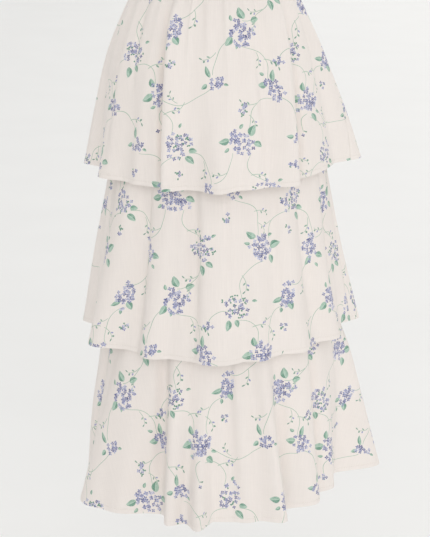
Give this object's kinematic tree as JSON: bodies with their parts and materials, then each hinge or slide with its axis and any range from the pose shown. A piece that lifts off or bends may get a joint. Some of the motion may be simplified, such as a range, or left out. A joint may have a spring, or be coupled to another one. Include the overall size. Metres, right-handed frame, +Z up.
{
  "type": "tiered ruffle skirt",
  "caption": "Long skirt of gathered, flared cloth tiers on an underskirt with an elasticated waistband, hollow as when worn.",
  "frame": {"origin": "centre of the waist, level with the top edge of the waistband", "axes": "+Z up along the body, -Y to the front of the skirt, +X to the wearer's left side seam"},
  "size_m": [0.5173, 0.5201, 0.885],
  "materials": {
    "printed_cotton": "matt plain-woven cotton, off-white with small lavender and sage floral sprays",
    "waistband_cloth": "matt plain-woven cotton over elastic",
    "underskirt_cloth": "matt plain cotton lawn"
  },
  "bodies": {
    "root": {"waistband_front": "waistband_cloth", "waistband_back": "waistband_cloth", "underskirt_front": "underskirt_cloth", "underskirt_back": "underskirt_cloth", "tier_1_front": "printed_cotton", "tier_1_back": "printed_cotton", "tier_2_front": "printed_cotton", "tier_2_back": "printed_cotton", "tier_3_front": "printed_cotton", "tier_3_back": "printed_cotton"}
  },
  "joints": []
}
